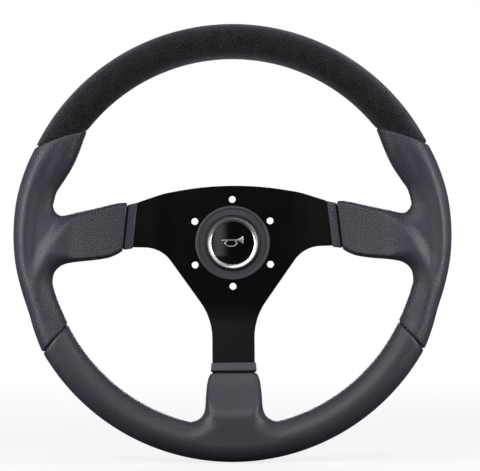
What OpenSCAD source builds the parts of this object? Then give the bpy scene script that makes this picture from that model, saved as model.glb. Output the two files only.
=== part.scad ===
// Three-spoke sports steering wheel for a car.
// Drawn face up: x to the right, y up, z towards the driver, with z = 0 on the
// plate's back face, and then stood upright, so that the driver looks along +Y.

/* [Rim] */
// Outside diameter of the rim
rim_d = 350; // [340:1:365]
// Width of the plain rim, seen from the front
rim_w = 28.4; // [27.4:0.2:30]
// Depth of the plain rim, front to back
rim_t = 30; // [28:0.5:33]
// Height of the rim's middle above the plate's back face
dish = 20; // [17:0.5:23]
// Outside diameter of the steel tube hoop in the rim
hoop_d = 12; // [10:0.5:13]
// Wall of the hoop's tube
hoop_wall = 1.5; // [1:0.1:2]

/* [Covers] */
// Thickness of the leather and the suede
cover_t = 1.3; // [1:0.1:1.6]
// Glue layer between the foam and its covers
glue_t = 0.2; // [0.15:0.05:0.3]
// Width of the groove where two covers meet
groove_w = 0.8; // [0.5:0.1:1.2]
// Half thickness of a cover where it ends on its spoke
spoke_end_t = 5.2; // [4.9:0.1:6.5]
// Depth of the thumb scoop in the front of each side grip
scoop_depth = 5; // [0:0.5:6]
// Depth of the finger hollow below each side spoke
hollow_depth = 2.6; // [0:0.2:4]
// Thickness of the leather bands round the spokes
cuff_t = 0.8; // [0.6:0.1:1.2]
// Width of the leather bands round the spokes
cuff_w = 7; // [5:0.5:8]

/* [Spoke plate] */
// Thickness of the plate
plate_t = 4; // [3:0.5:4.5]
// Height of the hub's top edge above the middle
hub_top = 46; // [44:0.5:50]
// Radius of the arched top edge
arch_r = 250; // [200:5:300]
// Half width of the bottom spoke
low_spoke_half = 17; // [15:0.5:18]
// Distance from the middle at which the spokes begin to bend forward
bend_start = 46; // [45:0.5:50]
// Radius of that bend
bend_r = 100; // [60:5:120]
// Diameter of the bolt circle
bolt_circle = 70; // [69:0.5:74]
// Number of bolt holes
bolt_count = 6; // [6:1:9]
// Diameter of a bolt hole
bolt_hole = 5.5; // [4.5:0.1:6]
// Diameter of a bolt hole's countersink
sink_d = 9.4; // [8:0.1:9.6]
// Thickness of the tabs on the hoop
tab_t = 3; // [2:0.5:4]
// Diameter of a spoke rivet's shank
rivet_d = 4; // [3:0.5:5]

/* [Horn push] */
// How far the bezel's barrel stays inside the bolt circle
barrel_in = 9; // [8.5:0.25:9.5]
// How far the bezel's brim stands out from its barrel
bezel_brim = 4; // [3.5:0.25:4]
// Height of the bezel's flat face above the plate
bezel_h = 2.6; // [2:0.2:3.5]
// Depth of the barrel behind the plate's back face
barrel_depth = 12.5; // [11.5:0.5:15]
// How far the cap's edge lies inside the barrel's outside
cap_in = 4; // [3.75:0.25:4.5]
// Height of the cap's edge above the bezel's face
cap_h = 3; // [2.4:0.2:4]
// How far the cap can be pressed
travel = 1.8; // [1:0.2:2]
// Width of the cap's edge round the bright ring
cap_edge = 1.7; // [1.5:0.1:2]
// Width of the bright ring
ring_w = 2.8; // [2.4:0.2:3.6]
// Diameter of the spring's wire
wire_d = 1.2; // [0.8:0.1:1.4]
// Turns of the spring
spring_turns = 5; // [4:1:6]

/* [Hidden] */
$fn = 72;

rim_r = rim_d / 2;
in_r = rim_r - rim_w;
hoop_r = rim_r - rim_w / 2;

// Points of an outline, given for a 350 mm rim, moved to fit the rim
fit = rim_d / 350;
function fitted(path) = [for (p = path) [fit * p[0], fit * p[1], p[2]]];

// The spokes: where the plate's middle plane reaches the rim's middle plane
seat_r = in_r + 1.4;
tongue_end = hoop_r - hoop_d / 2 - 4;
rivet_edge = 5;
rivet_pitch = 8;
rivet_spots = [tongue_end - rivet_edge - rivet_pitch, tongue_end - rivet_edge];
tab_start = rivet_spots[0] - rivet_edge;

// Angle of the bend, closer with each of its n steps
function bend_angle(a = 8, n = 6) = n == 0 ? a
    : bend_angle(atan((dish - plate_t / 2) / (seat_r - bend_start - bend_r * tan(a / 2))), n - 1);
bend_a = bend_angle();
bend_end = bend_start + bend_r * sin(bend_a);
bend_rise = bend_r * (1 - cos(bend_a));

// Distances from the middle at which the covers end on the side spokes and on the bottom spoke
side_x = 84 * fit;
low_x = 104 * fit;

// Small shared geometry
function lerp(a, b, t) = a + (b - a) * t;
function clamp01(t) = min(1, max(0, t));
function ease(t) = let (c = clamp01(t)) c * c * (3 - 2 * c);
function polar(r, a) = [r * cos(a), r * sin(a)];
function unit(v) = v / norm(v);
function flat(l) = [for (a = l) for (b = a) b];
function back(l) = [for (i = [len(l) - 1:-1:0]) l[i]];

// An arc that rounds the corner q between p and s
function corner(p, q, s, r, n = 8) = r == 0 ? [q] : let (
        u = unit(p - q), v = unit(s - q), half = acos(u * v) / 2,
        c = q + unit(u + v) * r / sin(half),
        from = q + u * r / tan(half) - c, to = q + v * r / tan(half) - c,
        a0 = atan2(from[1], from[0]), turn = atan2(from[0] * to[1] - from[1] * to[0], from * to))
    [for (i = [0:n]) c + polar(r, a0 + turn * i / n)];

// A polyline of [x, y, corner radius] with its corners rounded
function rounded(path) = [for (i = [0:len(path) - 1]) let (
        at = function(k) [path[k][0], path[k][1]], q = at(i))
    each (i == 0 || i == len(path) - 1) ? [q] : corner(at(i - 1), q, at(i + 1), path[i][2])];

// A smooth curve through points, at s from 0 to 1, which starts along y
function through(pts, s) = let (
        last = len(pts) - 1, i = min(floor(s * last), last - 1), f = s * last - i,
        b = pts[i], c = pts[i + 1], d = pts[min(i + 2, last)],
        a = i > 0 ? pts[i - 1] : [c[0], 2 * b[1] - c[1]])
    b + ((c - a) * f + (2 * a - 5 * b + 4 * c - d) * f * f + (3 * b - a - 3 * c + d) * f * f * f) / 2;

// A smooth value over [place, value] pairs
function value_at(t, x) = let (
        last = len(t) - 1, i = max(0, len([for (k = [1:last - 1]) if (t[k][0] <= x) 1])),
        a = t[i], b = t[i + 1], w = b[0] - a[0], f = clamp01((x - a[0]) / w),
        before = t[max(i - 1, 0)], after = t[min(i + 2, last)],
        ma = (b[1] - before[1]) / (b[0] - before[0]) * w, mb = (after[1] - a[1]) / (after[0] - a[0]) * w)
    a[1] * (1 + 2 * f) * (1 - f) * (1 - f) + ma * f * (1 - f) * (1 - f)
    + b[1] * f * f * (3 - 2 * f) + mb * f * f * (f - 1);

function to_line(p, a, b) = let (ab = b - a, t = clamp01((p - a) * ab / (ab * ab))) norm(p - a - ab * t);
function to_path(p, path) = min([for (i = [0:len(path) - 2]) to_line(p, path[i], path[i + 1])]);

// Stands a part drawn face up upright
module upright() { rotate([90, 0, 0]) children(); }

// The plate

// Right half of the plate's outline, from the top down, as [x, y, corner radius]
plate_corners = concat(
    fitted([[54.5, 40.3, 60], [74.5, 33.7, 4], [78, 31.7, 4], [88, 29.4, 6], [99, 21, 10]]),
    [[tongue_end, 12 * fit, 3], [tongue_end, -7 * fit, 3]],
    fitted([[99, -0.5, 10], [90, -4, 4], [79, -2.9, 10], [57.5, -3.4, 26]]),
    [[low_spoke_half, -60.7 * fit, 50], [low_spoke_half, -105 * fit, 4],
    [low_spoke_half - 7.5, -114 * fit, 6], [low_spoke_half - 8.5, -tongue_end, 3], [0, -tongue_end, 0]]);
// How far the arched top edge runs to each side
arch_end = 46 * fit;
function arch_y(x) = hub_top - arch_r + sqrt(arch_r * arch_r - x * x);
arch = [for (i = [0:8]) [arch_end * i / 8, arch_y(arch_end * i / 8)]];
lower_outline = rounded(concat([[arch_end, arch_y(arch_end), 0]], plate_corners));
half_outline = concat(arch, [for (i = [1:len(lower_outline) - 1]) lower_outline[i]]);

module plate_outline() {
    polygon(concat(half_outline, [for (p = back(half_outline)) if (p[0] > 0) [-p[0], p[1]]]));
}

// Right half of a face of a strip across the wheel, at height h above the strip's middle:
// the bend, and the straight end beyond it
bend_steps = 12;
function strip_face(h) = let (mid = [bend_start, plate_t / 2 + bend_r]) concat(
    [for (i = [0:bend_steps]) mid + polar(bend_r - h, bend_a * i / bend_steps - 90)],
    [mid + polar(bend_r - h, bend_a - 90) + polar(rim_r, bend_a)]);
function flipped(path) = [for (p = path) [-p[0], p[1]]];

// Such a strip: flat, with both ends bent forward
module strip(extra, wide) {
    front = strip_face(plate_t / 2 + extra);
    rear = strip_face(-plate_t / 2 - extra);
    rotate([90, 0, 0]) linear_extrude(height = wide, center = true)
        polygon(concat(back(flipped(front)), front, back(rear), flipped(rear)));
}

// Both strips, which share the flat hub
module bent_sheet(extra) {
    deep = 4 * dish;
    low_half = bend_start - 6;
    intersection() {
        strip(extra, rim_d);
        translate([-rim_r, -bend_start, -deep]) cube([rim_d, rim_d, 2 * deep]);
    }
    intersection() {
        rotate([0, 0, 90]) strip(extra, 2 * low_half);
        translate([-low_half, -rim_d, -deep]) cube([2 * low_half, rim_d, 2 * deep]);
    }
}

// Puts children on a spoke's straight part, with z = 0 on the plate's back face
// and x as the distance from the wheel's middle
module on_spoke(turn) {
    rotate([0, 0, turn]) translate([bend_end, 0, bend_rise + plate_t / 2]) rotate([0, -bend_a, 0])
        translate([-bend_end, 0, -plate_t / 2]) children();
}

// Each spoke's turn, and how far its rivets stand to the side of the line through the middle
SPOKES = [[0, 2.5], [180, -2.5], [-90, 0]];

module at_rivets() {
    for (s = SPOKES, x = rivet_spots) on_spoke(s[0]) translate([x, s[1], 0]) children();
}

module plate_blank() {
    intersection() {
        translate([0, 0, -dish]) linear_extrude(height = 3 * dish) plate_outline();
        bent_sheet(0);
    }
}

module bolt_holes() {
    for (i = [0:bolt_count - 1]) rotate([0, 0, 90 + i * 360 / bolt_count])
            translate([bolt_circle / 2, 0, 0]) {
        translate([0, 0, -1]) cylinder(d = bolt_hole, h = plate_t + 2);
        translate([0, 0, plate_t - (sink_d - bolt_hole) / 2])
            cylinder(d1 = bolt_hole, d2 = sink_d + 0.2, h = (sink_d - bolt_hole) / 2 + 0.1);
    }
}

barrel_play = 0.25;
hole_play = 0.05;

module spoke_plate() {
    color("#101012") upright() difference() {
        plate_blank();
        translate([0, 0, -1]) cylinder(d = barrel_d + 2 * barrel_play, h = plate_t + 2);
        bolt_holes();
        at_rivets() translate([0, 0, -1]) cylinder(d = rivet_d + 2 * hole_play, h = plate_t + 2);
    }
}

// The hoop

tab_half = 8;

module hoop_tube(d) {
    translate([0, 0, dish]) rotate_extrude($fn = 180) translate([hoop_r, 0]) circle(d = d, $fn = 36);
}

module tabs() {
    for (s = SPOKES) on_spoke(s[0])
        translate([tab_start, s[1] - tab_half, -tab_t]) cube([hoop_r - tab_start, 2 * tab_half, tab_t]);
}

module rim_ring() {
    color("#6b6e72") upright() difference() {
        union() {
            hoop_tube(hoop_d);
            tabs();
        }
        hoop_tube(hoop_d - 2 * hoop_wall);
        at_rivets() translate([0, 0, -tab_t - 1]) cylinder(d = rivet_d + 2 * hole_play, h = tab_t + 2);
    }
}

rivet_head_d = rivet_d + 3;
rivet_head_h = 1.6;

module rivets() {
    at_rivets() {
        translate([0, 0, -tab_t]) cylinder(d = rivet_d, h = tab_t + plate_t);
        translate([0, 0, plate_t]) cylinder(d1 = rivet_head_d, d2 = rivet_d, h = rivet_head_h);
        translate([0, 0, -tab_t - rivet_head_h]) cylinder(d1 = rivet_d, d2 = rivet_head_d, h = rivet_head_h);
    }
}

module spoke_rivets() { color("#9a9c9f") upright() rivets(); }

// The form of the grip, in a frame whose +x runs out along the spoke

// Growth of the side grip's outer edge beyond the plain rim, by angle
side_outer = [[-60, 0], [-36, 0], [-29.5, 0], [-24, -1.5], [-18, -3], [-12, -2.2], [-5, -0.8], [2, 0.1],
    [12, 0.9], [20, 0.6], [27, 0], [60, 0]];
// Growth of its inner edge towards the middle, by angle
side_inner = [[-60, 0], [-26, 0.3], [-20, 0], [-12.3, -0.7], [0, 0], [12.4, 0.3], [16.5, 0.4], [20, 2.8],
    [24, 4.8], [28, 5.2], [32, 4], [36, 1.6], [38.5, 0.2], [60, 0]];
plain = [[-90, 0], [0, 0], [90, 0]];

// Edges of a cover on its spoke, from the rim inwards: the first points are
// measured inwards from the rim's inner edge, the others outwards from the cover's end
function spoke_edge(near_rim, near_end, end_x) = concat(
    [for (p = fitted(near_rim)) [in_r - p[0], p[1]]], [for (p = fitted(near_end)) [end_x + p[0], p[1]]]);
side_low_edge = spoke_edge([[2.7, -31.3], [4.1, -22.6], [10.5, -16.6], [20.4, -14.3]],
    [[28, -13], [16, -11.2], [8.5, -8.3], [4.6, -5.8]], side_x);
side_up_edge = spoke_edge([[3.6, 31.3], [5.8, 25.6], [10.9, 23], [23, 25.7]],
    [[21, 29.8], [8, 32.7], [0.4, 33.2]], side_x);
low_up_edge = spoke_edge([[4.3, 35], [7.4, 26.8], [13.5, 23.3]],
    [[18, 22.4], [9, 21.4], [4, 20.2], [0.4, 18.6]], low_x);
low_low_edge = [for (p = low_up_edge) [p[0], -p[1]]];

// Each cover is [outer growth, inner growth, low edge, high edge, low seam, high seam,
// outer angles of the spoke's root, rows below, rows at the spoke, rows above, end on the
// spoke, scoop, seam bow]. A seam is [angle at the inner edge, angle at the outer edge].
low_seam = [-25.7, -29.5];
top_seam = [38, 26.5];
top_bow = 1;
groove_a = groove_w / rim_r * 90 / PI;
across = 9;

SIDE = [side_outer, side_inner, side_low_edge, side_up_edge, low_seam + [groove_a, groove_a],
    top_seam - [groove_a, groove_a], [-14.5, 10.5], 4, 10, 7, side_x, 1, top_bow];
LOW = [plain, plain, low_low_edge, low_up_edge, [-90, -90] - low_seam + [groove_a, groove_a],
    [90, 90] + low_seam - [groove_a, groove_a], [-14, 14], 8, 8, 8, low_x, 0, 0];

function outer_r(c, a) = rim_r + value_at(c[0], a);
function inner_r(c, a) = in_r - value_at(c[1], a);

// A spoke edge moved into the cover by t
function inset_edge(edge, s, t, side) = let (
        d = 0.01, s0 = min(s, 1 - d), v = unit(through(edge, s0 + d) - through(edge, s0)))
    through(edge, s) + side * t * [v[1], -v[0]];

// Both free edges of a cover, for measuring how far a point lies inside; they run past
// the cover's ends by past_a degrees and past_x millimetres
past_a = 8;
past_x = 6;
edge_steps = 16;
function angle_of(p) = atan2(p[1], p[0]);
function rail(c, e, from_a, steps) = let (n = len(e) - 1) concat(
    [for (i = [0:steps - 1]) let (a = lerp(from_a, angle_of(e[0]), i / steps)) polar(inner_r(c, a), a)],
    [for (i = [0:edge_steps]) through(e, i / edge_steps)], [e[n] + past_x * unit(e[n] - e[n - 1])]);
function lower_rail(c) = rail(c, c[2], c[4][0] - past_a, 6);
function upper_rail(c) = rail(c, c[3], c[5][0] + past_a, 9);

// Rounding of an edge: 0 at the edge, 1 at the distance a inside it
function round_up(d, a) = let (s = clamp01(d / a)) sqrt(max(0, 1 - (1 - s) * (1 - s)));

// Middle plane of the grip, which follows the plate on the spoke
function mid_z(p) = dish - tan(bend_a) * (seat_r - p[0]) * (1 - ease((norm(p) - in_r + 28) / 24));
// Half thickness away from the edges
function crown(c, p) = lerp(spoke_end_t, rim_t / 2, ease((norm(p) - c[10] - 1) / (in_r - c[10] - 9)));
// Width of the rounding at a free edge: narrow on the spoke, and widening where it meets the rim
function edge_width(p) = lerp(3.4, rim_w / 2, ease((norm(p) - in_r) / 22 + 1));

// Crest of the side grip: the spoke's flat face runs out to it above and on down the rim. By
// height, how far out it lies
crest = [[-82, 144], [-63.6, 150.2], [-48.3, 154.2], [-38.1, 155.6], [-25.3, 154.4], [-11.3, 149.5],
    [1.6, 143.2], [11.9, 134.4], [19.7, 125.5], [26.5, 113], [33, 100]];
// Fall from the crest: 0 well before it, and 1 from the width beyond it, with a round start
crest_soft = 1.5;
function fall(x, width) = let (
        s = x - crest_soft, t = clamp01((s + norm([s, 2 * crest_soft])) / 2 / width))
    t * (2 - t);
// The front's hollows: a scoop for the thumb beyond the crest, which ends at the outer ridge, and
// below the spoke a finger hollow on the inner side of the crest
function relief(c, p) = c[11] == 0 ? 0 : let (
        a = angle_of(p), out = norm(p) - in_r, beyond = p[0] - fit * value_at(crest, p[1] / fit))
    -scoop_depth * fall(beyond, 11) * (1 - ease((out - 10) / 12))
        * ease((a + 16) / 14) * (1 - ease((a - 12) / 22))
    - hollow_depth * fall(-beyond, 8) * ease((-7 - a) / 8) * (1 - ease((-21 - a) / 8));

// A point of the front (up = 1) or back (up = -1) of the grip, inset by t
function skin_point(c, rails, p, edge, up, t) = let (
        d = edge ? 0 : min(to_path(p, rails[0]), to_path(p, rails[1])) - t,
        e = edge ? 0 : round_up(d, edge_width(p) - t)
            * round_up(outer_r(c, angle_of(p)) - t - norm(p), rim_w / 2 - t))
    [p[0], p[1], mid_z(p) + up * e * (crown(c, p) - t + (up > 0 ? relief(c, p) : 0))];

// Share of the way across a row at column k, close together at its rounded edges
function spread(k, n) = (1 - cos(180 * k / n)) / 2;
// The spoke part and the rim part meet on a line that bulges outwards
root_bulge = 7;
function bulge(f) = [root_bulge * sin(180 * f), 0];

// Row i of the rim part, from the inner edge outwards, as [x, y, is an edge point]
function rim_row(c, i, t) = let (
        k0 = c[7], k1 = c[7] + c[8], last = k1 + c[9],
        low = inset_edge(c[2], 0, t, 1), high = inset_edge(c[3], 0, t, -1),
        part = i <= k0 ? i / k0 : i < k1 ? spread(i - k0, c[8]) : (i - k1) / c[9],
        in_window = i > k0 && i < k1,
        in_a = i <= k0 ? lerp(c[4][0], angle_of(low), part) : lerp(angle_of(high), c[5][0], part),
        out_a = i <= k0 ? lerp(c[4][1], c[6][0], part) : i < k1 ? lerp(c[6][0], c[6][1], part)
            : lerp(c[6][1], c[5][1], part),
        p = i == k0 ? low : i == k1 ? high : in_window ? lerp(low, high, part) + bulge(part)
            : polar(inner_r(c, in_a) + t, in_a),
        q = polar(outer_r(c, out_a) - t, out_a),
        open = in_window ? ease(min(part, 1 - part) / 0.25) : 0,
        bow = c[12] * (i <= k1 ? 0 : (i - k1) / c[9]), n = unit([p[1] - q[1], q[0] - p[0]]))
    [for (k = [0:across]) let (
            s = lerp(spread(k, across), sin(90 * k / across), open),
            x = lerp(p, q, s) + 4 * bow * s * (1 - s) * n)
        [x[0], x[1], k == across || (k == 0 && !in_window)]];

// Row j of the spoke part, from the cover's end outwards to the rim part
function spoke_row(c, j, t, along) = let (f = spread(j, c[8]))
    [for (m = [along:-1:0]) let (s = pow(m / along, 1.3),
            x = lerp(inset_edge(c[2], s, t, 1), inset_edge(c[3], s, t, -1), f)
                + pow(clamp01(1 - 3 * s), 2) * bulge(f))
        [x[0], x[1], j == 0 || j == c[8]]];

function raise(c, rows, up, t) = let (rails = [lower_rail(c), upper_rail(c)])
    [for (row = rows) [for (p = row) skin_point(c, rails, [p[0], p[1]], p[2], up, t)]];
function rim_rows(c, t) = [for (i = [0:c[7] + c[8] + c[9]]) rim_row(c, i, t)];
function spoke_rows(c, t) = let (along = c == SIDE ? 7 : 6) [for (j = [0:c[8]]) spoke_row(c, j, t, along)];
function column(rows, k) = [for (r = rows) r[k]];

// A solid from sheets of points: each is [rows of points, faces out, quads cut the other way]
module solid_of(sheets) {
    sizes = [for (s = sheets) len(s[0]) * len(s[0][0])];
    starts = [for (i = 0, sum = 0; i < len(sheets); sum = sum + sizes[i], i = i + 1) sum];
    polyhedron(points = flat([for (s = sheets) flat(s[0])]), faces = flat([for (i = [0:len(sheets) - 1]) let (
            rows = sheets[i][0], n = len(rows[0]), out = sheets[i][1], other = sheets[i][2] == true)
        [for (r = [0:len(rows) - 2], k = [0:n - 2]) let (
                a = starts[i] + r * n + k, b = a + 1, d = a + n, e = d + 1)
            each other ? (out ? [[a, d, b], [b, d, e]] : [[a, b, d], [b, e, d]])
                : out ? [[a, d, e], [a, e, b]] : [[a, e, d], [a, b, e]]]]));
}

// A leather cover: outer and inner surfaces, closed at its three open ends
module cover(c) {
    rim = rim_rows(c, 0);
    rim_in = rim_rows(c, cover_t);
    spoke = spoke_rows(c, 0);
    spoke_in = spoke_rows(c, cover_t);
    last = len(rim) - 1;
    front = [for (g = [rim, spoke]) raise(c, g, 1, 0)];
    rear = [for (g = [rim, spoke]) raise(c, g, -1, 0)];
    front_in = [for (g = [rim_in, spoke_in]) raise(c, g, 1, cover_t)];
    rear_in = [for (g = [rim_in, spoke_in]) raise(c, g, -1, cover_t)];
    solid_of([
        [front[0], true], [front[1], true], [rear[0], false], [rear[1], false],
        [front_in[0], false], [front_in[1], false], [rear_in[0], true], [rear_in[1], true],
        [[front_in[0][0], front[0][0]], true], [[rear[0][0], rear_in[0][0]], true],
        [[front_in[0][last], front[0][last]], false], [[rear[0][last], rear_in[0][last]], false],
        [[column(front_in[1], 0), column(front[1], 0)], false],
        [[column(rear[1], 0), column(rear_in[1], 0)], false]]);
}

module leather_right() { color("#3a3a40") upright() cover(SIDE); }
module leather_left() { color("#3a3a40") upright() mirror([1, 0, 0]) cover(SIDE); }
module leather_bottom() { color("#2e2e33") upright() rotate([0, 0, -90]) cover(LOW); }

// The suede, an oval tube along the top whose ends follow the seams

// A seam's curve is an arc: [middle, radius]
seam_ends = [polar(in_r, top_seam[0]), polar(rim_r, top_seam[1])];
seam_chord = seam_ends[1] - seam_ends[0];
seam_r = (seam_chord * seam_chord) / (8 * top_bow);
seam_mid = (seam_ends[0] + seam_ends[1]) / 2
    + (seam_r - top_bow) * unit([seam_chord[1], -seam_chord[0]]);

suede_sink = 0.1;
suede_from = 20;

module oval(inset) {
    scale([(rim_w / 2 - inset) / (rim_t / 2 - inset), 1]) circle(r = rim_t / 2 - inset, $fn = 48);
}

module suede_tube() {
    translate([0, 0, dish]) rotate([0, 0, suede_from])
        rotate_extrude(angle = 180 - 2 * suede_from, $fn = 180) translate([hoop_r, 0]) difference() {
            oval(suede_sink);
            oval(cover_t);
        }
}

module suede_top() {
    color("#1d1d1f") upright() difference() {
        suede_tube();
        for (side = [0, 1]) mirror([side, 0, 0]) translate([seam_mid[0], seam_mid[1], dish - rim_t])
            cylinder(r = seam_r + groove_w / 2, h = 2 * rim_t, $fn = 360);
    }
}

// The foam: one closed ring with three spoke roots, round the hoop and the plate's tongues

foam_t = cover_t + glue_t;
top_rows = 28;
top_start = groove_a / (180 - 2 * top_seam[0]);
top_places = concat([top_start], [for (i = [1:top_rows - 1]) i / top_rows], [1 - top_start]);

function mirrored(rows) = back([for (r = rows) [for (p = r) [-p[0], p[1], p[2]]]]);
function turned(rows) = [for (r = rows) [for (p = r) [p[1], -p[0], p[2]]]];

// Row of the foam's top at f of the way between the seams, bowed as they are at its two ends
function top_row(f) = let (
        p = polar(in_r + foam_t, lerp(top_seam[0], 180 - top_seam[0], f)),
        q = polar(rim_r - foam_t, lerp(top_seam[1], 180 - top_seam[1], f)),
        n = (1 - 2 * f) * top_bow * unit([p[1] - q[1], q[0] - p[0]]))
    [for (k = [0:across]) let (s = spread(k, across)) lerp(p, q, s) + 4 * s * (1 - s) * n];
function top_sheet(up) = [for (f = top_places) [for (p = top_row(f)) let (
        d = clamp01((norm(p) - in_r - foam_t) / (rim_w - 2 * foam_t)))
    [p[0], p[1], dish + up * (rim_t / 2 - foam_t) * 2 * sqrt(max(0, d * (1 - d)))]]];

module foam_blank() {
    side = [for (up = [1, -1]) raise(SIDE, rim_rows(SIDE, foam_t), up, foam_t)];
    low = [for (up = [1, -1]) turned(raise(LOW, rim_rows(LOW, foam_t), up, foam_t))];
    root = [for (up = [1, -1]) raise(SIDE, spoke_rows(SIDE, foam_t), up, foam_t)];
    low_root = [for (up = [1, -1]) turned(raise(LOW, spoke_rows(LOW, foam_t), up, foam_t))];
    left = [for (g = side) mirrored(g)];
    left_root = [for (g = root) mirrored(g)];
    last = len(side[0]) - 1;
    roots = [for (k = [0, 1]) [root[k], left_root[k], low_root[k]]];
    solid_of(concat(
        [for (k = [0, 1]) each [[side[k], k == 0], [left[k], k == 0, true],
            [root[k], k == 0], [left_root[k], k == 0, true], [low_root[k], k == 0],
            [concat([side[k][last]], top_sheet(1 - 2 * k), [left[k][0]]), k == 0],
            [concat([left[k][last]], low[k], [side[k][0]]), k == 0]]],
        [for (i = [0:2]) [[column(roots[1][i], 0), column(roots[0][i], 0)], false]]));
}

module foam_grip() {
    color("#2a2a2a") upright() difference() {
        foam_blank();
        plate_blank();
        hoop_tube(hoop_d);
        tabs();
        rivets();
    }
}

// The bands that close each cover on its spoke

module cuff(lines, turn) {
    intersection() {
        translate([0, 0, -dish]) linear_extrude(height = 3 * dish) intersection() {
            offset(delta = cuff_t) plate_outline();
            rotate(turn) polygon(lines);
        }
        bent_sheet(cuff_t);
    }
}

// Corners of a side cuff: heights of its ends, and how far its lower end stands further out
cuff_high = 37 * fit;
cuff_low = -8 * fit;
cuff_lean = 5.2 * fit;

module side_cuff() {
    start = side_x - cuff_w - groove_w - 0.25;
    difference() {
        cuff([[start, cuff_high], [start + cuff_w, cuff_high], [start + cuff_w + cuff_lean, cuff_low],
            [start + cuff_lean, cuff_low]], 0);
        plate_blank();
    }
}

module cuff_right() { color("#45454b") upright() side_cuff(); }
module cuff_left() { color("#45454b") upright() mirror([1, 0, 0]) side_cuff(); }
module cuff_bottom() {
    start = low_x - cuff_w - groove_w;
    half = low_spoke_half + 2 * cuff_t;
    color("#45454b") upright() difference() {
        cuff([[start, half], [start + cuff_w, half], [start + cuff_w, -half], [start, -half]], -90);
        plate_blank();
    }
}

// The horn push, on the wheel's axis

barrel_d = bolt_circle - 2 * barrel_in;
bezel_d = barrel_d + 2 * bezel_brim;
cap_d = barrel_d - 2 * cap_in;
ring_d = cap_d - 2 * cap_edge;
ring_in_d = ring_d - 2 * ring_w;
spring_d = cap_d / 2;
face_z = plate_t + bezel_h;
lip_gap = 0.5;
lip_r = cap_d / 2 + lip_gap;
lip_h = 1.6;
flange_r = cap_d / 2 + 1.3;
bore_r = flange_r + 0.3;
flange_top = face_z - lip_h - 0.1;
flange_h = 1.6;
cap_wall = 1.6;
cap_top = face_z + cap_h;
floor_z = cap_top - 1.2;
cap_under = floor_z - 1.8;
roll_r = 1.5;
base_r = bore_r + 0.7;
seat_step_z = -barrel_depth + 5.5;
base_h = 2.5;
base_low = seat_step_z - base_h;
clip_r = 0.7;
barb = 1.2;
tongue_w = 9;
tongue_end_z = -3.5;
slot_w = 1;
slot_deep = 6;

module barb_ring() {
    rotate_extrude() polygon([[barrel_d / 2 - 0.5, -0.15], [barrel_d / 2 + barb, -0.15],
        [barrel_d / 2 + barb, -0.8], [barrel_d / 2, tongue_end_z], [barrel_d / 2 - 0.5, tongue_end_z]]);
}

module horn_bezel() {
    color("#48484c") upright() difference() {
        union() {
            rotate_extrude() {
                translate([0, plate_t]) square([bezel_d / 2 - roll_r, bezel_h]);
                translate([0, plate_t]) square([bezel_d / 2, bezel_h - 0.6]);
                translate([bezel_d / 2 - roll_r, face_z - 0.6]) circle(r = roll_r, $fn = 36);
            }
            translate([0, 0, -barrel_depth]) cylinder(d = barrel_d, h = barrel_depth + plate_t + 1);
            intersection() {
                barb_ring();
                for (i = [0:3]) rotate([0, 0, 45 + 90 * i])
                    translate([0, -tongue_w / 2, -barrel_depth]) cube([barrel_d, tongue_w, barrel_depth]);
            }
        }
        translate([0, 0, -barrel_depth - 1]) cylinder(r = bore_r, h = barrel_depth + face_z - lip_h + 1);
        translate([0, 0, -barrel_depth - 1]) cylinder(r = lip_r, h = barrel_depth + face_z + 4);
        translate([0, 0, -barrel_depth - 1]) cylinder(r = base_r, h = barrel_depth + seat_step_z + 1);
        translate([0, 0, base_low - 2 * clip_r - 0.1]) cylinder(r = base_r + clip_r, h = 2 * clip_r + 0.1);
        for (i = [0:3]) rotate([0, 0, 45 + 90 * i]) translate([bore_r - 1, 0, tongue_end_z - slot_w]) {
            for (side = [-1, 1]) translate([0, side * (tongue_w + slot_w) / 2 - slot_w / 2, 0])
                cube([slot_deep, slot_w, plate_t - tongue_end_z]);
            translate([0, -tongue_w / 2, 0]) cube([slot_deep, tongue_w, slot_w]);
        }
    }
}

edge_round = 0.8;
boss_r = 4;
contact_t = 0.8;
boss_low = cap_under - 2.3;
pin_r = 1.2;
pin_deep = 2.6;

module horn_cap() {
    low = flange_top - flange_h;
    color("#1a1a1c") upright() difference() {
        union() {
            cylinder(d = cap_d, h = cap_top - edge_round);
            cylinder(d = cap_d - 2 * edge_round, h = cap_top);
            translate([0, 0, cap_top - edge_round]) rotate_extrude() translate([cap_d / 2 - edge_round, 0])
                circle(r = edge_round, $fn = 36);
            cylinder(r = flange_r, h = flange_top);
        }
        translate([0, 0, -1]) cylinder(r = flange_r + 1, h = low + 1);
        difference() {
            translate([0, 0, -1]) cylinder(r = cap_d / 2 - cap_wall, h = cap_under + 1);
            translate([0, 0, boss_low]) cylinder(r = boss_r, h = cap_top);
        }
        translate([0, 0, floor_z]) cylinder(d = ring_d + 2 * hole_play, h = cap_h);
        translate([0, 0, boss_low - 1]) cylinder(r = pin_r + hole_play, h = pin_deep + 1);
    }
}

ring_rise = 1.7;
ring_fall = 0.9;

// The bright ring is highest at its outer edge and falls inwards in an arc
module chrome_ring() {
    arc_r = (ring_w * ring_w + ring_fall * ring_fall) / (2 * ring_fall);
    color("#d8dade") upright() translate([0, 0, floor_z]) rotate_extrude($fn = 120) intersection() {
        translate([ring_d / 2, ring_rise - arc_r]) circle(r = arc_r, $fn = 120);
        translate([ring_in_d / 2, 0]) square([ring_w, ring_rise + 1]);
    }
}

disc_rise = 0.7;
dome_rise = 0.7;

module emblem_disc() {
    r = ring_in_d / 2 - 0.6;
    dome_r = (r * r + dome_rise * dome_rise) / (2 * dome_rise);
    color("#060607") upright() translate([0, 0, floor_z]) rotate_extrude($fn = 120) intersection() {
        translate([0, disc_rise + dome_rise - dome_r]) circle(r = dome_r, $fn = 720);
        square([r, disc_rise + dome_rise + 1]);
    }
}

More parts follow.
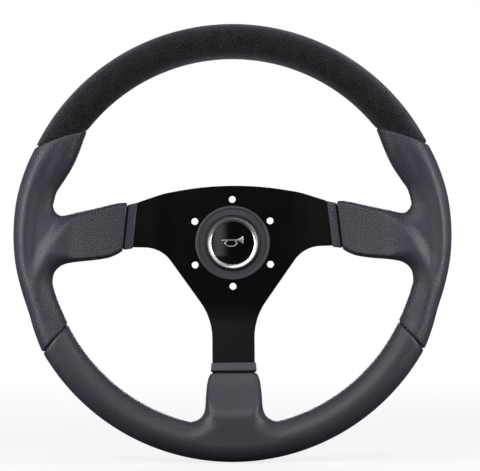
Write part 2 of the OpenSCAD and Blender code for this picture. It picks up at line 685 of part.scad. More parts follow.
module moving_contact() {
    color("#b99a4a") upright() translate([0, 0, boss_low - contact_t]) difference() {
        cylinder(r = 7, h = contact_t);
        translate([0, 0, -1]) cylinder(r = pin_r + hole_play, h = contact_t + 2);
    }
}

pin_head_h = 0.8;
pin_low = boss_low - contact_t - pin_head_h;

module contact_pin() {
    color("#c4a861") upright() {
        translate([0, 0, pin_low]) cylinder(r = 2.6, h = pin_head_h);
        translate([0, 0, pin_low]) cylinder(r = pin_r, h = pin_head_h + contact_t + pin_deep - 0.2);
    }
}

blade_w = 6.3;
blade_t = 0.8;
blade_low = -barrel_depth - 3;
pad_top = pin_low - travel - 0.15;
pad_t = 0.8;
pad_r = 5.5;
pillar_r = 6.5;
slot_play = 0.05;
slot_h = 2 * barrel_depth;
earth_x = spring_d / 2 + 2.5;

module fixed_contact() {
    color("#c9a650") upright() {
        translate([0, 0, pad_top - pad_t]) cylinder(r = pad_r, h = pad_t);
        translate([-blade_w / 2, -blade_t / 2, blade_low])
            cube([blade_w, blade_t, pad_top - pad_t - blade_low]);
    }
}

seat_in_r = pillar_r + 0.3;
seat_out_r = earth_x + blade_t / 2;

module spring_seat() {
    color("#c9a650") upright() {
        translate([0, 0, seat_step_z]) difference() {
            cylinder(r = seat_out_r, h = pad_t);
            translate([0, 0, -1]) cylinder(r = seat_in_r, h = pad_t + 2);
        }
        translate([earth_x - blade_t, -blade_w / 2, blade_low])
            cube([blade_t, blade_w, seat_step_z - blade_low]);
    }
}

module horn_base() {
    color("#26262a") upright() difference() {
        union() {
            translate([0, 0, base_low]) cylinder(r = base_r - 0.15, h = base_h);
            translate([0, 0, base_low]) cylinder(r = pillar_r, h = pad_top - pad_t - base_low);
        }
        translate([-blade_w / 2 - slot_play, -blade_t / 2 - slot_play, blade_low])
            cube([blade_w + 2 * slot_play, blade_t + 2 * slot_play, slot_h]);
        translate([earth_x - blade_t - slot_play, -blade_w / 2 - slot_play, blade_low])
            cube([blade_t + 2 * slot_play, blade_w + 2 * slot_play, slot_h]);
    }
}

module base_clip() {
    gap_a = 40;
    color("#8d9094") upright() translate([0, 0, base_low - clip_r - 0.05]) rotate([0, 0, gap_a / 2])
        rotate_extrude(angle = 360 - gap_a, $fn = 120)
            translate([base_r - 0.05, 0]) circle(r = clip_r, $fn = 24);
}

// The return spring: a round wire wound in a helix between its seat and the cap
spring_low = seat_step_z + pad_t + 0.05;
spring_high = cap_under - 0.05;
wire_sides = 6;
turn_steps = 14;

function spring_ring(i) = let (
        a = 360 * i / turn_steps, part = i / (spring_turns * turn_steps),
        z = lerp(spring_low + wire_d / 2, spring_high - wire_d / 2, part))
    [for (k = [0:wire_sides]) let (b = -360 * (k % wire_sides) / wire_sides,
            r = spring_d / 2 + wire_d / 2 * cos(b))
        [r * cos(a), r * sin(a), z + wire_d / 2 * sin(b)]];

// A wire's end, as rows from its edge to its middle
function wire_end(ring) = let (middle = (ring[0] + ring[wire_sides / 2]) / 2) [ring, [for (p = ring) middle]];

module return_spring() {
    rings = [for (i = [0:spring_turns * turn_steps]) spring_ring(i)];
    last = rings[len(rings) - 1];
    color("#a9adb2") upright() solid_of([[rings, true], [wire_end(rings[0]), false], [wire_end(last), true]]);
}

spoke_plate();
rim_ring();
spoke_rivets();
foam_grip();
suede_top();
leather_left();
leather_right();
leather_bottom();
cuff_left();
cuff_right();
cuff_bottom();
horn_bezel();
horn_cap();
chrome_ring();
emblem_disc();
return_spring();
moving_contact();
contact_pin();
fixed_contact();
spring_seat();
horn_base();
base_clip();
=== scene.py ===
import math

import bmesh
import bpy
import numpy as np
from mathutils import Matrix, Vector


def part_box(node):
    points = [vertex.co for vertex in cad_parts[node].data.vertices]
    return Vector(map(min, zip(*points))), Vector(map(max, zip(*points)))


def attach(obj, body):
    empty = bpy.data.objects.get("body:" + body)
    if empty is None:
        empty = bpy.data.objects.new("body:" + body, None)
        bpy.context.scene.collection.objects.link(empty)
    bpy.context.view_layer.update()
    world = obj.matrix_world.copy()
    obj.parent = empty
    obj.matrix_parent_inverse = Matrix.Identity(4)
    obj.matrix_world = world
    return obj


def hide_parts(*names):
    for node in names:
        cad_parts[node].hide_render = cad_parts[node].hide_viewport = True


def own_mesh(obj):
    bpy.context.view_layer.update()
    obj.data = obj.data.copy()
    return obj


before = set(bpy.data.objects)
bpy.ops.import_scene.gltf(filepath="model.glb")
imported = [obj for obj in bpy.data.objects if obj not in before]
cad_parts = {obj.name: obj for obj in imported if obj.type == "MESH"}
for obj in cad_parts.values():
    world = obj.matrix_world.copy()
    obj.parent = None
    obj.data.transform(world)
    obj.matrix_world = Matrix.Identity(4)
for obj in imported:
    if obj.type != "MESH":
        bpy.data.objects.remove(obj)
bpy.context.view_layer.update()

# Camera. The wheel is seen square on through a long lens. At the rim the picture is 383.4 mm
# wide, its middle is 6.0 mm to the right of the wheel's and 5.9 mm above it, and it is
# turned by half a degree.
rim_plane = -0.020
camera_far = 2.2
view_width = 0.3834
view_x, view_z = 0.0060, 0.0059
view_turn = 0.5
film_width = 36
lens = bpy.data.cameras.new("camera")
lens.sensor_width = film_width
lens.lens = film_width * camera_far / view_width
camera = bpy.data.objects.new("camera", lens)
camera.location = (view_x, rim_plane - camera_far, view_z)
camera.rotation_euler = (math.radians(90), math.radians(view_turn), 0)
bpy.context.collection.objects.link(camera)
bpy.context.scene.camera = camera
bpy.context.scene.view_settings.view_transform = "Standard"


def linear(code):
    """sRGB hex colour as linear RGBA: a channel c up to 0.04045 is c / 12.92, above it
    ((c + 0.055) / 1.055) ** 2.4."""
    c = np.array([int(code[i:i + 2], 16) for i in (1, 3, 5)]) / 255
    return (*np.where(c <= 0.04045, c / 12.92, ((c + 0.055) / 1.055) ** 2.4), 1.0)


def add_node(tree, kind, values=None, links=None, **own):
    """Adds a node to a tree: its own properties, then values and links of its sockets, which
    are given by name or number. A link comes from a socket or from a node's first output. A
    Mix node mixes colours 6 and 7 into its output 2."""
    made = tree.nodes.new(kind)
    for name, value in own.items():
        setattr(made, name, value)
    for name, value in (values or {}).items():
        made.inputs[name].default_value = value
    for name, source in (links or {}).items():
        if isinstance(source, bpy.types.Node):
            source = source.outputs[0]
        tree.links.new(source, made.inputs[name])
    return made


# Room: white all round to the camera. In the wheel's gloss it is a faint backdrop, a soft window
# strip beside the camera and a white wall on either side, and as far as light on the wheel
# goes it is dim.
world = bpy.data.worlds.new("studio")
world.use_nodes = True
bpy.context.scene.world = world
tree = world.node_tree
tree.nodes.clear()
path = add_node(tree, "ShaderNodeLightPath")
place = add_node(tree, "ShaderNodeTexCoord")
axes = add_node(tree, "ShaderNodeSeparateXYZ", links={0: place.outputs["Generated"]})

# Smooth steps along one axis of the direction looked in: name, axis, where it is 0, where it
# is full, and how much that is. The backdrop is faint, or each edge would be outlined.
parts = {"camera": path.outputs["Is Camera Ray"], "gloss": path.outputs["Is Glossy Ray"],
         "glass": path.outputs["Is Transmission Ray"]}
for name, axis, dark, bright, full in [
        ("far", "Y", 0.0, 0.6, 0.15), ("high", "Z", -0.3, 0.3, 1.0),
        ("strip_left", "X", -0.2, -0.125, 1.0), ("strip_right", "X", -0.03, -0.115, 1.0),
        ("strip_near", "Y", -0.9, -0.96, 1.0), ("wall_right", "X", 0.2, 0.4, 1.0),
        ("wall_left", "X", -0.2, -0.4, 1.0), ("wall_near", "Y", -0.5, -0.65, 1.0)]:
    parts[name] = add_node(
        tree, "ShaderNodeMapRange", {"From Min": dark, "From Max": bright, "To Max": full},
        {"Value": axes.outputs[axis]}, interpolation_type="SMOOTHSTEP")

# They are put together in twos: the product where both have to hold, the larger where either may.
for name, how, first, second in [
        ("backdrop", "MULTIPLY", "far", "high"),
        ("strip_wide", "MULTIPLY", "strip_left", "strip_right"),
        ("strip", "MULTIPLY", "strip_wide", "strip_near"),
        ("walls", "MAXIMUM", "wall_right", "wall_left"),
        ("sides", "MULTIPLY", "walls", "wall_near"),
        ("behind", "MAXIMUM", "backdrop", "strip"),
        ("shine", "MAXIMUM", "behind", "sides"),
        ("in_gloss", "MULTIPLY", "gloss", "shine"),
        ("seen", "MAXIMUM", "camera", "in_gloss"),
        ("bright", "MAXIMUM", "seen", "glass")]:
    parts[name] = add_node(tree, "ShaderNodeMath", links={0: parts[first], 1: parts[second]},
                           operation=how)
dim = add_node(tree, "ShaderNodeBackground", {"Color": linear("#dfe3ea"), "Strength": 0.05})
white = add_node(tree, "ShaderNodeBackground", {"Color": (1, 1, 1, 1), "Strength": 1.0})
mixed = add_node(tree, "ShaderNodeMixShader", links={0: parts["bright"], 1: dim, 2: white})
add_node(tree, "ShaderNodeOutputWorld", links={"Surface": mixed})

# Lamps: oblong softboxes aimed at the wheel's middle, as name, place, width, height and watts.
# The key stands high in front on the left, one is close on either side for the outer ridges,
# a weak one close above, and one behind for the wheel's back.
for name, at, wide, high, watts in [
        ("key", (-0.5, -1.7, 1.0), 1.0, 0.8, 13.0),
        ("left", (-0.52, -0.24, 0.06), 0.15, 0.5, 2.0),
        ("right", (0.52, -0.24, 0.06), 0.15, 0.5, 2.0),
        ("top", (0.0, -0.1, 0.5), 0.5, 0.15, 0.7),
        ("back", (0.0, 2.0, 0.35), 1.0, 0.8, 20.0)]:
    lamp = bpy.data.lights.new(name, "AREA")
    lamp.shape = "RECTANGLE"
    lamp.size = wide
    lamp.size_y = high
    lamp.energy = watts
    lamp_object = bpy.data.objects.new(name, lamp)
    lamp_object.location = at
    ahead = Vector((0, rim_plane, 0)) - Vector(at)
    lamp_object.rotation_euler = ahead.to_track_quat("-Z", "Y").to_euler()
    bpy.context.collection.objects.link(lamp_object)

# Floor: a pale matt board under the wheel. To the camera it is nearly white and keeps the
# shadow; as far as light on the wheel goes it is grey.
floor_z = -0.1752
floor_half = 1.5
floor_mesh = bpy.data.meshes.new("floor")
corners = [(-floor_half, -floor_half, floor_z), (floor_half, -floor_half, floor_z),
           (floor_half, floor_half, floor_z), (-floor_half, floor_half, floor_z)]
floor_mesh.from_pydata(corners, [], [(0, 1, 2, 3)])
floor = bpy.data.objects.new("floor", floor_mesh)
bpy.context.collection.objects.link(floor)


def new_material(name, **values):
    """A material with nodes, and its shader's values, with _ for a space and colours in hex.
    Returns it and its tree."""
    made = bpy.data.materials.new(name)
    made.use_nodes = True
    shader = made.node_tree.nodes["Principled BSDF"]
    for socket, value in values.items():
        value = linear(value) if isinstance(value, str) else value
        shader.inputs[socket.replace("_", " ")].default_value = value
    return made, made.node_tree


def feed(tree, socket, output):
    """Links an output to a socket of a material's shader."""
    tree.links.new(output, tree.nodes["Principled BSDF"].inputs[socket])


def mottle(tree, size, **values):
    """Noise over a piece, in patches about size metres across."""
    place = add_node(tree, "ShaderNodeTexCoord").outputs["Object"]
    return add_node(tree, "ShaderNodeTexNoise", {"Scale": 1 / size, **values}, {"Vector": place})


def tint(tree, low, high, source):
    """A material's colour, from low where a source is 0 to high where it is 1."""
    made = add_node(tree, "ShaderNodeMix", {6: linear(low), 7: linear(high)}, {0: source},
                    data_type="RGBA")
    feed(tree, "Base Color", made.outputs[2])
    return made.outputs[2]


def roughen(tree, low, high, source):
    """A material's roughness, from low where a source is 0 to high where it is 1."""
    made = add_node(tree, "ShaderNodeMapRange", {"To Min": low, "To Max": high}, {"Value": source})
    feed(tree, "Roughness", made.outputs[0])


def emboss(tree, strength, depth, source):
    """A material's relief, depth metres high where a source is 1, at a strength up to 1."""
    made = add_node(tree, "ShaderNodeBump", {"Strength": strength, "Distance": depth},
                    {"Height": source})
    feed(tree, "Normal", made.outputs[0])
    return made


board, tree = new_material("pale_board", Roughness=0.9)
path = add_node(tree, "ShaderNodeLightPath")
tint(tree, "#404040", "#f4f4f4", path.outputs["Is Camera Ray"])
# To the camera it glows white, by 0.78 up to 0.25 m from the wheel's foot and fully from 1.4 m
# on, so that the board's far edge doesn't show.
place = add_node(tree, "ShaderNodeTexCoord").outputs["Object"]
away = add_node(tree, "ShaderNodeVectorMath", {1: (0, 0, floor_z)}, {0: place},
                operation="DISTANCE")
fade = add_node(tree, "ShaderNodeMapRange",
                {"From Min": 0.25, "From Max": 1.4, "To Min": 0.78, "To Max": 1.0},
                {"Value": away.outputs["Value"]})
share = add_node(tree, "ShaderNodeMath", links={0: path.outputs["Is Camera Ray"], 1: fade},
                 operation="MULTIPLY")
glow = add_node(tree, "ShaderNodeEmission", {"Color": (1, 1, 1, 1), "Strength": 1.0})
mixed = add_node(tree, "ShaderNodeMixShader",
                 links={0: share, 1: tree.nodes["Principled BSDF"], 2: glow})
tree.links.new(mixed.outputs[0], tree.nodes["Material Output"].inputs["Surface"])
floor_mesh.materials.append(board)


# Spoke plate: 4 mm aluminium sheet, blanked, bent, bead blasted and black anodised. Its CAD
# solid has the right shape and gets the finish.
def dress(name, material):
    """Puts one material in all the slots of a CAD node."""
    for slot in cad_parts[name].material_slots:
        slot.material = material


# Black anodised aluminium: a dyed oxide layer, nearly black, that scatters a lamp's light
# softly; the blasting leaves pits about 0.3 mm across, drawn 0.6 mm across to show.
anodised, tree = new_material("black_anodised_aluminium", Base_Color="#040404",
                              Specular_IOR_Level=0.12)
emboss(tree, 0.15, 0.00003, mottle(tree, 0.0006, Detail=3.0))
roughen(tree, 0.27, 0.36, mottle(tree, 0.03))
dress("spoke_plate", anodised)

# Hoop and rivets: a bent and welded steel tube with three tabs, and six aluminium rivets that
# hold the plate on the tabs. All of it lies in the foam. Drawing leaves the tube a dull grey
# with patches of scale some 8 mm across, and heading leaves marks of about 1 mm on the rivets.
tube_steel, tree = new_material("drawn_steel_tube", Metallic=1.0, Roughness=0.45)
tint(tree, "#6e7074", "#85878b", mottle(tree, 0.008, Detail=4.0))
dress("rim_ring", tube_steel)

rivet_alloy, tree = new_material("headed_aluminium", Base_Color="#c4c5c8", Metallic=1.0,
                                 Roughness=0.4)
emboss(tree, 0.3, 0.0001, mottle(tree, 0.0012))
dress("spoke_rivets", rivet_alloy)

# Foam: polyurethane moulded round the hoop and the spoke ends, with a dense dark skin. Only
# the bottoms of the grooves between the covers show it: matt, with cells about 0.8 mm across.
foam, tree = new_material("moulded_polyurethane", Base_Color="#121213", Roughness=0.8)
place = add_node(tree, "ShaderNodeTexCoord").outputs["Object"]
cells = add_node(tree, "ShaderNodeTexVoronoi", {"Scale": 1 / 0.0008}, {"Vector": place})
emboss(tree, 0.4, 0.0001, cells)
dress("foam_grip", foam)

# Leather covers: three T-shaped covers, each sewn round the rim and over a spoke's root. The
# two side ones, of perforated leather, form the thumb grips: the spoke's face runs flat out to
# a crest, behind which a scoop takes the thumb, and the rim's outer ridge rises again. All
# sizes are millimetres in the plan of the wheel seen from the front, with x along the spoke.
rim_r, rim_w, rim_t, dish = 175.0, 28.4, 30.0, 20.0
in_r = rim_r - rim_w
hoop_r = rim_r - rim_w / 2
plate_t, bend_start, bend_r, seat_r = 4.0, 46.0, 100.0, in_r + 1.4
spoke_end_t, spoke_half_w, spoke_edge_w = 5.2, 18.0, 3.4
groove_w, own_groove_deep, own_groove_w = 0.8, 0.7, 0.8
cover_t, seam_in = 1.2, 3.0

# The spokes' bend, from the flat hub to the rim's middle plane at seat_r. Its angle a solves
# tan a = rise / (seat_r - bend_start - bend_r tan(a / 2)), found by going round six times.
bend_a = math.radians(8)
for step in range(6):
    bend_a = math.atan((dish - plate_t / 2) / (seat_r - bend_start - bend_r * math.tan(bend_a / 2)))

# Each cover's plan. outer and inner: how far the rim's edges stand out, as [degrees, mm]. low and
# high: the spoke's two edges as [x, y], from the rim to the cover's end. seams: the angles of
# the low and the high seam, each at the inner and the outer edge. root: the angles between which
# the spoke's rows end at the outer edge. end: the x at which the cover ends. scoop and
# bow: how much of the hollows and of the high seam's bow, in mm, the cover has.
groove_a = math.degrees(groove_w / rim_r / 2)
top_seam, top_bow = np.array([38, 26.5]), 1.0
PLAIN = [[-90, 0], [0, 0], [90, 0]]
SIDE = {
    "outer": [[-60, 0], [-36, 0], [-29.5, 0], [-24, -1.5], [-18, -3], [-12, -2.2], [-5, -0.8],
              [2, 0.1], [12, 0.9], [20, 0.6], [27, 0], [60, 0]],
    "inner": [[-60, 0], [-26, 0.3], [-20, 0], [-12.3, -0.7], [0, 0], [12.4, 0.3], [16.5, 0.4],
              [20, 2.8], [24, 4.8], [28, 5.2], [32, 4], [36, 1.6], [38.5, 0.2], [60, 0]],
    "low": [[in_r - 2.7, -31.3], [in_r - 4.1, -22.6], [in_r - 10.5, -16.6], [in_r - 20.4, -14.3],
            [112, -13], [100, -11.2], [92.5, -8.3], [88.6, -5.8]],
    "high": [[in_r - 3.6, 31.3], [in_r - 5.8, 25.6], [in_r - 10.9, 23], [in_r - 23, 25.7],
             [105, 29.8], [92, 32.7], [84.4, 33.2]],
    "seams": [[-25.7 + groove_a, -29.5 + groove_a], top_seam - groove_a],
    "root": [-14.5, 10.5], "end": 84.0, "scoop": 1.0, "bow": top_bow}
LOW = {
    "outer": PLAIN, "inner": PLAIN,
    "low": [[in_r - 4.3, -35], [in_r - 7.4, -26.8], [in_r - 13.5, -23.3], [122, -22.4],
            [113, -21.4], [108, -20.2], [104.4, -18.6]],
    "high": [[in_r - 4.3, 35], [in_r - 7.4, 26.8], [in_r - 13.5, 23.3], [122, 22.4], [113, 21.4],
             [108, 20.2], [104.4, 18.6]],
    "seams": [[-64.3 + groove_a, -60.5 + groove_a], [64.3 - groove_a, 60.5 - groove_a]],
    "root": [-14, 14], "end": 104.0, "scoop": 0.0, "bow": 0.0}


def ease(t):
    """Smooth step 3 t^2 - 2 t^3, with t held between 0 and 1."""
    t = np.clip(t, 0, 1)
    return t * t * (3 - 2 * t)


def bell(x, width):
    """exp(-(x / width)^2)."""
    return np.exp(-(x / width) ** 2)


def lerp(a, b, t):
    """a + (b - a) t."""
    return a + (b - a) * t


def polar(r, degrees):
    """Plan points r (cos a, sin a)."""
    a = np.radians(degrees)
    return np.stack([r * np.cos(a), r * np.sin(a)], -1)


def angle_of(p):
    """Angle of plan points, in degrees."""
    return np.degrees(np.arctan2(p[..., 1], p[..., 0]))


def from_table(table, x):
    """Smooth value over rows of [place, value]: between two rows a cubic, whose slope at each
    is that of the line from the row before it to the row after it."""
    at, value = np.array(table, float).T
    last = len(at) - 1
    i = np.clip(np.searchsorted(at, x, side="right") - 1, 0, last - 1)
    before, after = np.maximum(i - 1, 0), np.minimum(i + 2, last)
    w = at[i + 1] - at[i]
    f = np.clip((x - at[i]) / w, 0, 1)
    slope_a = (value[i + 1] - value[before]) / (at[i + 1] - at[before]) * w
    slope_b = (value[after] - value[i]) / (at[after] - at[i]) * w
    return (value[i] * (1 + 2 * f) * (1 - f) ** 2 + slope_a * f * (1 - f) ** 2
            + value[i + 1] * f * f * (3 - 2 * f) + slope_b * f * f * (f - 1))


def along_curve(points, s):
    """Smooth curve through points at s from 0 to 1, which starts along y. With a, b, c, d the
    points round s and f the way from b to c: b + ((c - a) f + (2a - 5b + 4c - d) f^2
    + (3b - a - 3c + d) f^3) / 2."""
    points = np.array(points, float)
    last = len(points) - 1
    i = np.minimum((s * last).astype(int), last - 1)
    f = (s * last - i)[..., None]
    before = [[points[1, 0], 2 * points[0, 1] - points[1, 1]]]
    points = np.concatenate([before, points, points[-1:]])
    a, b, c, d = (points[i + k] for k in range(4))
    return b + ((c - a) * f + (2 * a - 5 * b + 4 * c - d) * f ** 2
                + (3 * b - a - 3 * c + d) * f ** 3) / 2


def distance_to(line, p):
    """Distance of plan points to a line of segments a to b: the least length of
    p - a - t (b - a), with t = (p - a).(b - a) / |b - a|^2 held between 0 and 1."""
    a, ab = line[:-1], line[1:] - line[:-1]
    t = np.clip(((p[..., None, :] - a) * ab).sum(-1) / (ab * ab).sum(-1), 0, 1)
    return np.linalg.norm(p[..., None, :] - a - ab * t[..., None], axis=-1).min(-1)


def rail(form, edge, seam, past):
    """A free edge of a cover as a line: along the rim's inner edge from past degrees beyond the
    seam to the spoke, along the spoke's edge, and past millimetres on."""
    spoke = along_curve(form[edge], np.linspace(0, 1, 60))
    a = np.linspace(seam + past, angle_of(spoke[0]), 40)[:-1]
    on_rim = polar(in_r - from_table(form["inner"], a), a)
    out = (spoke[-1] - spoke[-2]) / np.linalg.norm(spoke[-1] - spoke[-2])
    return np.concatenate([on_rim, spoke, spoke[-1:] + abs(past) * out + 1e-6])


def rails(form, past=8):
    """Both free edges of a cover."""
    low, high = form["seams"]
    return [rail(form, "low", low[0], -past), rail(form, "high", high[0], past)]


def seam_line(ends, bow):
    """Plan of a seam across the rim, from its inner to its outer angle, bowed by 4 bow s (1 - s)
    and carried on by one step at either end."""
    s = np.linspace(0, 1, 24)[:, None]
    p, q = polar(in_r, ends[0]), polar(rim_r, ends[1])
    side = np.array([p[1] - q[1], q[0] - p[0]]) / np.linalg.norm(q - p)
    line = lerp(p, q, s) + 4 * bow * s * (1 - s) * side
    return np.concatenate([2 * line[:1] - line[1:2], line, 2 * line[-1:] - line[-2:-1]])


def round_up(d, width):
    """Quarter ellipse: 0 at an edge, 1 from width inside it."""
    return np.sqrt(np.clip(1 - (1 - np.clip(d / width, 0, 1)) ** 2, 0, 1))


def middle_z(p):
    """Height of a grip's middle plane: the bent plate's up to 28 mm inside the rim's inner edge,
    the rim's from 4 mm inside it, and an ease between them."""
    r = np.linalg.norm(p, axis=-1)
    return dish - math.tan(bend_a) * (seat_r - p[..., 0]) * (1 - ease((r - in_r + 28) / 24))


# The crest in plan as [y, x], and how deep and wide the hollows on either side of it fall.
CREST = [[-82, 144], [-63.6, 150.2], [-48.3, 154.2], [-38.1, 155.6], [-25.3, 154.4], [-11.3, 149.5],
         [1.6, 143.2], [11.9, 134.4], [19.7, 125.5], [26.5, 113], [33, 100]]
scoop_deep, scoop_w = 5, 11
hollow_deep, hollow_w = 2.6, 8


def fall(x, width, soft=1.5):
    """Fall from a crest: t (2 - t) with t = (s + (s^2 + 4 soft^2)^0.5) / 2 width held between 0
    and 1 and s = x - soft."""
    s = x - soft
    t = np.clip((s + np.sqrt(s * s + 4 * soft * soft)) / 2 / width, 0, 1)
    return t * (2 - t)


def relief(form, p):
    """The front's hollows. The thumb scoop falls off beyond the crest, fades between 10 and 22 mm
    out from the rim's inner edge, starts between -16 and -2 degrees and ends between 12
    and 34. The finger hollow falls off on the crest's inner side, from between -7 and -15
    degrees to between -21 and -29."""
    a, out = angle_of(p), np.linalg.norm(p, axis=-1) - in_r
    beyond = p[..., 0] - from_table(CREST, p[..., 1])
    scoop = (scoop_deep * fall(beyond, scoop_w) * (1 - ease((out - 10) / 12))
             * ease((a + 16) / 14) * (1 - ease((a - 12) / 22)))
    hollow = (hollow_deep * fall(-beyond, hollow_w) * ease((-7 - a) / 8)
              * (1 - ease((-21 - a) / 8)))
    return -form["scoop"] * (scoop + hollow)


def height(form, p, edge, up):
    """Height of a grip's front (up = 1) or back (up = -1) over plan points: the middle plane plus
    a crown times quarter ellipses from its free edges and from its outer edge. The crown
    grows from spoke_end_t at the cover's end to half the rim's thickness 8 mm inside the
    rim's inner edge, and the ellipses' width over the last 22 mm before it. The back has a
    groove along the cover's own seam."""
    r = np.linalg.norm(p, axis=-1)
    span = in_r - form["end"] - 9
    d = np.min([distance_to(line, p) for line in rails(form)], axis=0)
    wide = lerp(spoke_edge_w, rim_w / 2, ease((r - in_r) / 22 + 1))
    crown = lerp(spoke_end_t, rim_t / 2, ease((r - form["end"] - 1) / span))
    outer = rim_r + from_table(form["outer"], angle_of(p)) - r
    e = np.where(edge, 0, round_up(d, wide) * round_up(outer, rim_w / 2))
    if up > 0:
        return middle_z(p) + e * (crown + relief(form, p))
    return middle_z(p) - e * (crown - own_groove_deep * bell(d - seam_in, own_groove_w))


def places(n, more=()):
    """Places from 0 to 1, closest at the ends: (1 - cos(pi i / n)) / 2, and some more."""
    return np.union1d(np.round((1 - np.cos(np.pi * np.arange(n + 1) / n)) / 2, 6),
                      np.round(more, 6))


def bulge(f):
    """Outward bulge 7 sin(pi f) of the line on which a cover's rim and spoke parts meet."""
    return np.stack([7 * np.sin(np.pi * f), 0 * f], -1)


def rim_plan(form, across, root):
    """Plan of a cover's rim part: rows from the low to the high seam, closest at the seams, each
    from the inner to the outer edge and bowed like the seam. Returns points, which of them
    are edge points, and how open each row is to the spoke."""
    below = np.linspace(0, 1, 34)[:-1] ** 1.5
    above = 1 - (1 - np.linspace(0, 1, 44)[1:]) ** 1.5
    low, high = np.array(form["low"][0]), np.array(form["high"][0])
    low_seam, high_seam = form["seams"]
    a_low = lerp(low_seam[0], angle_of(low), below)
    a_high = lerp(angle_of(high), high_seam[0], above)
    p = np.concatenate([polar(in_r - from_table(form["inner"], a_low), a_low),
                        lerp(low, high, root[:, None]) + bulge(root),
                        polar(in_r - from_table(form["inner"], a_high), a_high)])
    a = np.concatenate([lerp(low_seam[1], form["root"][0], below), lerp(*form["root"], root),
                        lerp(form["root"][1], high_seam[1], above)])
    q = polar(rim_r + from_table(form["outer"], a), a)
    gate = np.concatenate([below * 0, ease(np.minimum(root, 1 - root) / 0.25), above * 0])[:, None]
    bow = np.concatenate([below * 0, root * 0, above * form["bow"]])[:, None]
    s = lerp(across, np.sin(np.arccos(1 - 2 * across) / 2), gate)
    side = np.stack([p[:, 1] - q[:, 1], q[:, 0] - p[:, 0]], -1)
    side /= np.linalg.norm(q - p, axis=-1)[:, None]
    points = (p[:, None] + (q - p)[:, None] * s[..., None]
              + (4 * bow * s * (1 - s))[..., None] * side[:, None])
    edge = np.zeros(s.shape, bool)
    edge[:, -1] = True
    edge[:len(below) + 1, 0] = True
    edge[len(below) + len(root) - 1:, 0] = True
    return points, edge, gate


def spoke_plan(form, along, root):
    """Plan of a cover's spoke part: rows across the spoke, each from the rim to the cover's end
    between the spoke's two edges. The bulge fades out over the first third."""
    low, high = along_curve(form["low"], along), along_curve(form["high"], along)
    fade = np.clip(1 - 3 * along, 0, 1)[:, None] ** 2
    points = lerp(low[None], high[None], root[:, None, None]) + fade * bulge(root)[:, None]
    edge = np.zeros(points.shape[:2], bool)
    edge[[0, -1]] = True
    return points, edge


# How deep a cover's skin sinks and from how far, at a seam and at the spoke part's end.
seam_sink, seam_round = 1.3, 1.8
end_sink, end_round = 1.6, 2.4
core_r = 4


def round_ends(form, points):
    """Rounds a cover's three ends: within seam_round of a seam the skin sinks by up to seam_sink
    towards the rim's middle, and within end_round of the spoke part's end by up to end_sink
    towards the spoke's, each along a quarter ellipse."""
    p = points[..., :2]
    for ends, bow in zip(form["seams"], (0, form["bow"])):
        sunk = seam_sink * (1 - round_up(distance_to(seam_line(ends, bow), p), seam_round))
        core = np.concatenate([polar(hoop_r, angle_of(p)), np.full(p.shape[:-1] + (1,), dish)], -1)
        reach = np.linalg.norm(points - core, axis=-1)
        points = core + (points - core) * (1 - sunk / np.maximum(reach, core_r))[..., None]
        p = points[..., :2]
    on_spoke = np.linalg.norm(p, axis=-1) < in_r - 15
    sunk = end_sink * (1 - round_up(points[..., 0] - form["end"], end_round)) * on_spoke
    middle = middle_z(p)
    points[..., 2] = middle + (points[..., 2] - middle) * (1 - sunk / spoke_end_t)
    centre = (form["low"][-1][1] + form["high"][-1][1]) / 2
    points[..., 1] = centre + (points[..., 1] - centre) * (1 - sunk / spoke_half_w)
    return points


def cover_grids(form):
    """A cover's four grids (front and back of the rim and of the spoke) with each point's place
    in the leather in millimetres: the distance along the skin from the rim's crest, and
    the distance round the wheel, which turn into plan distances on the spoke. Further rows
    stand along the groove of the cover's own seam."""
    root = places(36, [0.05, 0.06, 0.08, 0.09, 0.91, 0.92, 0.94, 0.95])
    along = places(46)
    grids = []
    for up in (1, -1):
        across = places(40, [] if up > 0 else [0.06, 0.075, 0.105, 0.12])
        plan, edge, gate = rim_plan(form, across, root)
        rim = np.concatenate([plan, height(form, plan, edge, up)[..., None]], -1)
        step = np.linalg.norm(np.diff(rim, axis=1), axis=-1)
        length = np.concatenate([np.zeros((len(rim), 1)), np.cumsum(step, 1)], 1)
        r = np.linalg.norm(plan, axis=-1)
        crest = np.array([np.interp(hoop_r, r[i], length[i]) for i in range(len(r))])[:, None]
        round_place = np.stack([hoop_r + length - crest, np.radians(angle_of(plan)) * hoop_r], -1)
        share = (1 - gate * (1 - ease((r - in_r) / (hoop_r - in_r))))[..., None]
        grids.append((round_ends(form, rim), lerp(plan, round_place, share), up))
        first = np.flatnonzero(edge[:, 0])
        start = first[np.flatnonzero(np.diff(first) > 1)[0]]
        joint = (lerp(plan, round_place, share) - plan)[start:start + len(root), :1]
        plan, edge = spoke_plan(form, along, root)
        spoke = np.concatenate([plan, height(form, plan, edge, up)[..., None]], -1)
        place = plan + joint * (1 - ease(along * 3))[None, :, None]
        grids.append((round_ends(form, spoke), place, up))
    return grids


def stand(points, turn=0, flip=1):
    """Plan points with heights, in millimetres, as points of the upright wheel in metres: turned
    in plan, mirrored if flip is -1, and x, y, z become x, -z, y."""
    c, s = math.cos(math.radians(turn)), math.sin(math.radians(turn))
    x, y, z = points[..., 0], points[..., 1], points[..., 2]
    return np.stack([flip * (c * x - s * y), -z, s * x + c * y], -1) / 1000


# Points of a piece that are closer than this, in metres, are one.
merge_within = 2e-6


